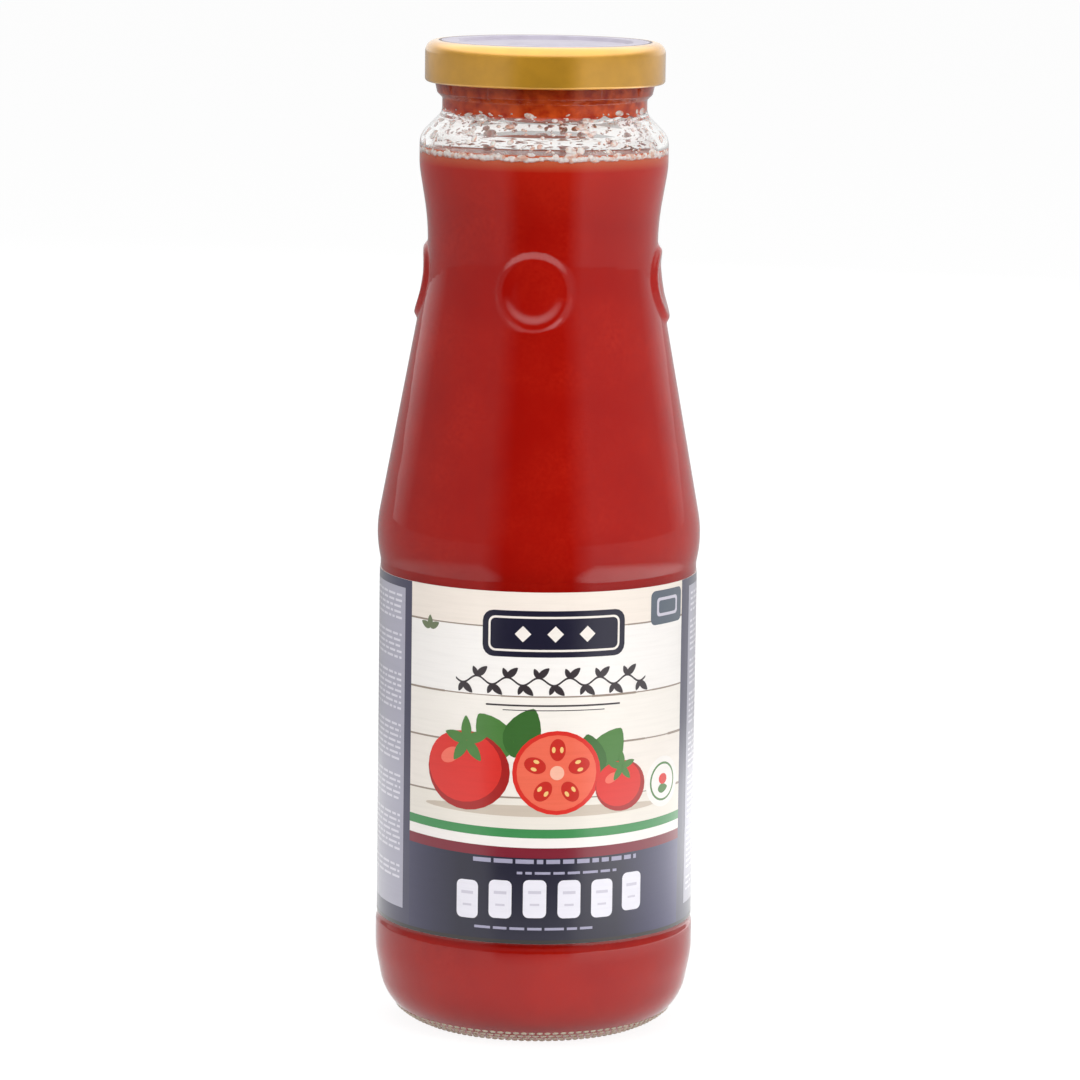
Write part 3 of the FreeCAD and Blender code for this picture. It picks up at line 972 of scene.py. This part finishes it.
class PASSATA_OT_picture(PieceOperator, bpy.types.Operator):
    """Print the tomatoes, the basil leaves and the vine ornament"""
    bl_idname = "passata.picture"
    bl_label = "Label picture"

    def tomato(self, page, across, height, radius, settings):
        """Whole tomato: rounded sides, darker foot, a gleam and a green calyx."""
        page.disc(across, height, radius, INKS["tomato shade"], 3, squash=TOMATO_SQUASH)
        page.disc(
            across - 0.08 * radius, height + 0.08 * radius, 0.9 * radius, settings.tomato, 4,
            squash=TOMATO_SQUASH)
        page.disc(
            across - 0.4 * radius, height + 0.3 * radius, 0.26 * radius, INKS["tomato gleam"], 5,
            squash=0.6, turn=-0.5)
        for ray in range(RAYS):
            page.leaf(
                across, height + 0.66 * radius, 0.55 * radius, settings.leaf, 6,
                turn=0.35 + ray * FULL_TURN / RAYS, width=0.22)

    def half_tomato(self, page, across, height, radius, settings):
        """Cut tomato: skin, paler flesh, seed chambers and a pale core."""
        page.disc(across, height, radius, settings.tomato, 3, squash=HALF_SQUASH)
        page.disc(across, height, 0.9 * radius, INKS["flesh"], 4, squash=HALF_SQUASH)
        out, apart = 0.52 * radius, 0.09 * radius
        for chamber in range(RAYS):
            way = 0.3 + chamber * FULL_TURN / RAYS
            x, z = across + out * math.cos(way), height + out * math.sin(way)
            page.disc(x, z, 0.25 * radius, INKS["chamber"], 5, squash=0.72, turn=-way)
            for side in (-1, 1):
                page.disc(
                    x + apart * side * math.sin(way), z - apart * side * math.cos(way),
                    0.07 * radius, INKS["seed"], 6, squash=0.6, turn=-way, segments=10)
        page.disc(across, height, 0.16 * radius, INKS["core"], 5)

    def vine(self, page):
        """Waved stalk with a pair of leaves on each bend."""
        ink, half = INKS["charcoal"], VINE_THICKNESS / 2
        page.stripe(
            VINE_LEFT, VINE_RIGHT, VINE_LEVEL - half, VINE_LEVEL + half, VINE_WAVE, ink, 3,
            bends=VINE_BENDS)
        for bend in range(VINE_BENDS):
            across = VINE_LEFT + (VINE_RIGHT - VINE_LEFT) * (bend + 0.5) / VINE_BENDS
            side = -1 if bend % 2 == 0 else 1
            for reach, turn, width in ((3.4, 0.75, 0.24), (2.4, 2.0, 0.26)):
                page.leaf(
                    across, VINE_LEVEL + side * VINE_WAVE, reach, ink, 4, turn=side * turn,
                    width=width)

    def execute(self, context):
        settings = context.scene.passata_label
        page = Drawing()
        for number, (across, height, reach, turn) in enumerate(LEAVES):
            ink, layer = (INKS["dark leaf"], 2.6) if number % 2 else (settings.leaf, 2.4)
            page.leaf(across, height, reach, ink, layer, turn=turn)
        page.disc(2.0, 57.4, 30.0, INKS["cast shadow"], 2.2, squash=0.045)
        self.tomato(page, -16.5, 66.2, 10.6, settings)
        self.half_tomato(page, 5.0, 66.4, 10.4, settings)
        self.tomato(page, 21.0, 62.6, 6.8, settings)
        # small sprig in the upper left corner
        for turn in (0.5, 1.6, 2.7):
            page.leaf(-27.0, 98.5, 3.0, INKS["sprig"], 4, turn=turn, width=0.26)
        self.vine(page)
        page.wrapped("label_picture", "label_picture_print")
        return {"FINISHED"}


# Lid: sheet, rolled edge and the steps of its top, by radius and by depth
TIN = 0.25
CURL = 1.7
CURL_ROUND = 0.84
SHOULDER_ROUND = 2.6
PRINT_EDGE = 24.2
PRINT_LINE = 0.7
TOP_STEP = (19.7, 20.5)
TOP_RAISED = (7.5, 9.5)
SUNK = 0.8
RAISED, RAISED_EDGE = 0.5, 0.45


class PASSATA_OT_lid(PieceOperator, bpy.types.Operator):
    """Press the tinplate lid: sunk top, rounded shoulder, skirt and rolled edge"""
    bl_idname = "passata.lid"
    bl_label = "Twist-off lid"

    def execute(self, context):
        settings = context.scene.passata_lid
        top, foot = LID_HIGH.z, LID_LOW.z
        sunk = top - SUNK
        inner, outer = TOP_STEP
        crown, slope = TOP_RAISED
        skin = [
            (0.0, sunk + RAISED, 0.0), (crown, sunk + RAISED_EDGE, 6.0), (slope, sunk, 2.0),
            (inner, sunk, 0.4), (outer, top, 0.4), (PRINT_EDGE, top, 0.0),
            (PRINT_EDGE + PRINT_LINE, top, 0.0), (LID_RADIUS, top, SHOULDER_ROUND),
            (LID_RADIUS, foot, CURL_ROUND), (LID_RADIUS - CURL, foot, CURL_ROUND),
            (LID_RADIUS - CURL, foot + CURL, 0.8), (LID_RADIUS - TIN, foot + CURL, 0.2),
            (LID_RADIUS - TIN, top - TIN, SHOULDER_ROUND - TIN), (outer, top - TIN, 0.3),
            (inner, sunk - TIN, 0.3), (slope, sunk - TIN, 2.0),
            (crown, sunk + RAISED_EDGE - TIN, 6.0), (0.0, sunk + RAISED - TIN, 0.0),
        ]
        bm = turned(rounded(skin), steps=SMALL_TURN_STEPS)
        for vert in bm.verts:
            ring = math.hypot(vert.co.x, vert.co.y)
            on_curl = abs(ring - LID_RADIUS + CURL) < 0.1 and vert.co.z < foot + CURL + 0.1
            if on_curl and in_window(vert, THREADS, LUG_ARC):
                push_out(vert, -LUG_REACH)
        for face in bm.faces:
            middle = face.calc_center_median()
            ring = math.hypot(middle.x, middle.y)
            if face.normal.z > 0.3 and middle.z > sunk - 0.1:
                if ring < PRINT_EDGE:
                    face.material_index = 1
                elif ring < PRINT_EDGE + PRINT_LINE - 0.05:
                    face.material_index = 2
        materials = [
            lacquered_tin("gold_lacquered_tinplate", settings.gold, 0.6, 1.0),
            lacquered_tin("pale_lacquered_tinplate", settings.top, 0.0, 0.0),
            lacquered_tin("dark_printed_line", settings.line, 0.0, 0.0),
        ]
        finished(bm, "lid_cap", materials, "lid")
        return {"FINISHED"}


WHITE = (1, 1, 1, 1)
FLOOR_REACH = 14.0
# Where the dark front of the studio begins and is full, along the way to the front
DARK_FRONT = (-0.77, -0.92)
DARK_LEVEL = 0.02
LAMP_AIM = Vector((0, 0, 0.12))
# Name, place, size and power of each lamp
LAMPS = (
    ("left_softbox", (-1.0, -1.1, 0.7), (0.7, 1.2), 6),
    ("right_softbox", (1.0, -1.1, 0.7), (0.7, 1.2), 11),
    ("back_softbox", (0.4, 1.3, 0.8), (1.2, 1.2), 7),
    ("top_softbox", (0.0, -0.2, 1.5), (1.2, 1.2), 7),
)
CAMERA_ASIDE = 0.3


class PASSATA_OT_stage(PieceOperator, bpy.types.Operator):
    """Set the pale floor, the soft lamps, the surroundings and the camera"""
    bl_idname = "passata.stage"
    bl_label = "Stage"

    def floor(self, settings):
        """Pale floor that fades into the white ground and keeps the bottle's shadow."""
        bm = bmesh.new()
        bmesh.ops.create_grid(bm, x_segments=1, y_segments=1, size=FLOOR_REACH)
        mesh = bpy.data.meshes.new("floor")
        bm.to_mesh(mesh)
        bm.free()
        material, tree, shader = new_material("pale_floor", {
            "Base Color": solid_colour(settings.floor), "Roughness": 0.9,
            "Specular IOR Level": 0.0})
        path = add(tree, "LightPath")
        white = add(tree, "Emission", {"Color": WHITE, "Strength": 1.12})
        plain = add(tree, "MixShader", {0: 0.8}, {
            1: shader.outputs[0], 2: white.outputs[0]})
        shown = add(tree, "MixShader", links={
            0: seen_ray(tree, path), 1: shader.outputs[0], 2: plain.outputs[0]})
        mirrored = add(tree, "Emission", {"Color": WHITE}, {
            "Strength": self.floor_level(tree)})
        both = add(tree, "MixShader", links={
            0: path.outputs["Is Glossy Ray"], 1: shown.outputs[0], 2: mirrored.outputs[0]})
        resurfaced(tree, both.outputs[0])
        mesh.materials.append(material)
        floor = bpy.data.objects.new("floor", mesh)
        bpy.context.scene.collection.objects.link(floor)

    def floor_level(self, tree):
        """How bright the floor mirrors: bright near the bottle, dark far out in front."""
        place = add(tree, "TexCoord").outputs["Object"]
        way = add(tree, "VectorMath", {"operation": "NORMALIZE"}, {0: place})
        far = add(tree, "VectorMath", {"operation": "LENGTH"}, {0: place})
        axes = add(tree, "SeparateXYZ", links={0: way.outputs[0]})
        side = axes.outputs["X"]
        front = stretched(tree, axes.outputs["Y"], *DARK_FRONT)
        reach = stretched(tree, front, 0, 1, 0.3, 0.13)
        beyond = add(tree, "Math", {"operation": "SUBTRACT"}, {
            0: far.outputs["Value"], 1: reach})
        near = stretched(tree, beyond.outputs[0], 0, 0.1, 1, 0)
        right = stretched(tree, far.outputs["Value"], 0.12, 0.22, 1.0, 2.1)
        near_level = mixed(tree, stretched(tree, side, 0, 0.85), 0.85, right)
        far_side = stretched(tree, side, -0.3, 0.3, 0.4, 0.6)
        far_level = mixed(tree, front, far_side, DARK_LEVEL)
        return mixed(tree, near, far_level, near_level)

    def surroundings(self):
        """Studio round the bottle: dark at the front, soft at the sides, white behind."""
        world = bpy.data.worlds.new("studio")
        world.use_nodes = True
        tree = world.node_tree
        tree.nodes.clear()
        way = add(tree, "TexCoord")
        axes = add(tree, "SeparateXYZ", links={0: way.outputs["Generated"]})
        side = stretched(tree, axes.outputs["X"], -0.3, 0.3, 0.3, 0.38)
        back = stretched(tree, axes.outputs["Y"], 0.3, 0.8)
        room = mixed(tree, back, side, 1.0)
        above = stretched(tree, axes.outputs["Z"], 0.35, 0.6)
        room = mixed(tree, above, room, 2.0)
        front = stretched(tree, axes.outputs["Y"], *DARK_FRONT)
        level = stretched(tree, axes.outputs["Z"], 0.25, 0.4, 1, 0)
        dark = add(tree, "Math", {"operation": "MULTIPLY"}, {0: front, 1: level})
        mirrored = mixed(tree, dark.outputs[0], room, DARK_LEVEL)
        path = add(tree, "LightPath")
        plain = mixed(tree, path.outputs["Is Glossy Ray"], 0.42, mirrored)
        strength = mixed(tree, seen_ray(tree, path), plain, 1.0)
        sky = add(tree, "Background", {"Color": WHITE}, {"Strength": strength})
        add(tree, "OutputWorld", links={"Surface": sky.outputs[0]})
        bpy.context.scene.world = world

    def lamp(self, name, place, size, power):
        """Large soft lamp that points at the bottle's middle; only its light shows."""
        light = bpy.data.lights.new(name, "AREA")
        light.shape = "RECTANGLE"
        light.size, light.size_y = size
        light.energy = power
        lamp = bpy.data.objects.new(name, light)
        lamp.location = place
        aim = LAMP_AIM - Vector(place)
        lamp.rotation_euler = aim.to_track_quat("-Z", "Y").to_euler()
        lamp.visible_glossy = False
        lamp.visible_camera = False
        lamp.visible_transmission = False
        bpy.context.scene.collection.objects.link(lamp)

    def execute(self, context):
        settings = context.scene.passata_stage
        self.floor(settings)
        self.surroundings()
        for lamp in LAMPS:
            self.lamp(*lamp)
        camera_data = bpy.data.cameras.new("camera")
        camera_data.lens = settings.lens
        camera = bpy.data.objects.new("camera", camera_data)
        camera.location = (CAMERA_ASIDE * MM, -settings.distance * MM, settings.height * MM)
        look = Matrix.Rotation(math.pi / 2 - settings.pitch, 3, "X")
        camera.rotation_euler = (look @ Matrix.Rotation(settings.roll, 3, "Z")).to_euler()
        context.scene.collection.objects.link(camera)
        context.scene.camera = camera
        context.scene.view_settings.view_transform = "Standard"
        return {"FINISHED"}


class PASSATA_PT_panel(bpy.types.Panel):
    """Lists the bottle's pieces and their settings"""
    bl_idname = "PASSATA_PT_panel"
    bl_label = "Passata bottle"
    bl_space_type = "VIEW_3D"
    bl_region_type = "UI"
    bl_category = "Passata"

    def draw(self, context):
        for operator in OPERATORS:
            self.layout.operator(operator.bl_idname)
        for name in SETTINGS:
            group = getattr(context.scene, name)
            box = self.layout.box()
            for field in group.bl_rna.properties.keys():
                if field not in ("rna_type", "name"):
                    box.prop(group, field)


SETTINGS = {
    "passata_glass": GlassSettings,
    "passata_contents": PassataSettings,
    "passata_label": LabelSettings,
    "passata_lid": LidSettings,
    "passata_stage": StageSettings,
}
OPERATORS = (
    PASSATA_OT_contents,
    PASSATA_OT_film,
    PASSATA_OT_splashes,
    PASSATA_OT_glass,
    PASSATA_OT_knurls,
    PASSATA_OT_label,
    PASSATA_OT_panels,
    PASSATA_OT_picture,
    PASSATA_OT_lid,
    PASSATA_OT_stage,
)


def register():
    for group in SETTINGS.values():
        bpy.utils.register_class(group)
    for operator in OPERATORS:
        bpy.utils.register_class(operator)
    bpy.utils.register_class(PASSATA_PT_panel)
    for name, group in SETTINGS.items():
        setattr(bpy.types.Scene, name, PointerProperty(type=group))


def unregister():
    for name in SETTINGS:
        delattr(bpy.types.Scene, name)
    bpy.utils.unregister_class(PASSATA_PT_panel)
    for operator in reversed(OPERATORS):
        bpy.utils.unregister_class(operator)
    for group in reversed(list(SETTINGS.values())):
        bpy.utils.unregister_class(group)


def main():
    """Make every piece in order."""
    register()
    for operator in OPERATORS:
        group, name = operator.bl_idname.split(".")
        getattr(getattr(bpy.ops, group), name)()


if __name__ == "__main__":
    main()
